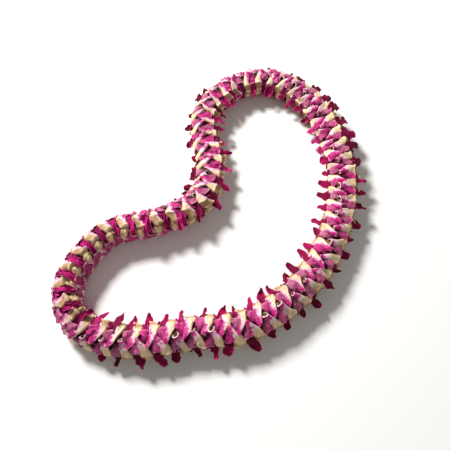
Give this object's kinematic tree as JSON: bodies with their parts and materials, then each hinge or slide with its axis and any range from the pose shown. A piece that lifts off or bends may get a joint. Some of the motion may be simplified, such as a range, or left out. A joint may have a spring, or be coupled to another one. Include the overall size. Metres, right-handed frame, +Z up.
{
  "type": "fresh flower lei",
  "caption": "Fresh orchid lei laid down in a closed pear-shaped loop: folded magenta and cream blooms strung in opposite pairs on one thread.",
  "frame": {"origin": "centre of the laid lei's bounding box, on the surface it lies on", "axes": "+Z up off the surface, +Y along the lei's greatest length, +X across it; the blooms open clockwise seen from above"},
  "size_m": [0.3251, 0.3575, 0.033],
  "materials": {
    "orchid_petals": "matte fresh petals, cream at the root, magenta to wine red at the tips",
    "thread": "matte twisted cotton thread"
  },
  "bodies": {
    "root": {"bloom_pair_01": "orchid_petals", "bloom_pair_02": "orchid_petals", "bloom_pair_03": "orchid_petals", "bloom_pair_04": "orchid_petals", "bloom_pair_05": "orchid_petals", "bloom_pair_06": "orchid_petals", "bloom_pair_07": "orchid_petals", "bloom_pair_08": "orchid_petals", "bloom_pair_09": "orchid_petals", "bloom_pair_10": "orchid_petals", "bloom_pair_11": "orchid_petals", "bloom_pair_12": "orchid_petals", "bloom_pair_13": "orchid_petals", "bloom_pair_14": "orchid_petals", "bloom_pair_15": "orchid_petals", "bloom_pair_16": "orchid_petals", "bloom_pair_17": "orchid_petals", "bloom_pair_18": "orchid_petals", "bloom_pair_19": "orchid_petals", "bloom_pair_20": "orchid_petals", "bloom_pair_21": "orchid_petals", "bloom_pair_22": "orchid_petals", "bloom_pair_23": "orchid_petals", "bloom_pair_24": "orchid_petals", "bloom_pair_25": "orchid_petals", "bloom_pair_26": "orchid_petals", "bloom_pair_27": "orchid_petals", "bloom_pair_28": "orchid_petals", "bloom_pair_29": "orchid_petals", "bloom_pair_30": "orchid_petals", "bloom_pair_31": "orchid_petals", "bloom_pair_32": "orchid_petals", "bloom_pair_33": "orchid_petals", "bloom_pair_34": "orchid_petals", "bloom_pair_35": "orchid_petals", "bloom_pair_36": "orchid_petals", "bloom_pair_37": "orchid_petals", "bloom_pair_38": "orchid_petals", "bloom_pair_39": "orchid_petals", "bloom_pair_40": "orchid_petals", "bloom_pair_41": "orchid_petals", "bloom_pair_42": "orchid_petals", "bloom_pair_43": "orchid_petals", "bloom_pair_44": "orchid_petals", "bloom_pair_45": "orchid_petals", "bloom_pair_46": "orchid_petals", "bloom_pair_47": "orchid_petals", "bloom_pair_48": "orchid_petals", "bloom_pair_49": "orchid_petals", "bloom_pair_50": "orchid_petals", "bloom_pair_51": "orchid_petals", "bloom_pair_52": "orchid_petals", "bloom_pair_53": "orchid_petals", "bloom_pair_54": "orchid_petals", "bloom_pair_55": "orchid_petals", "bloom_pair_56": "orchid_petals", "bloom_pair_57": "orchid_petals", "thread": "thread"}
  },
  "joints": []
}
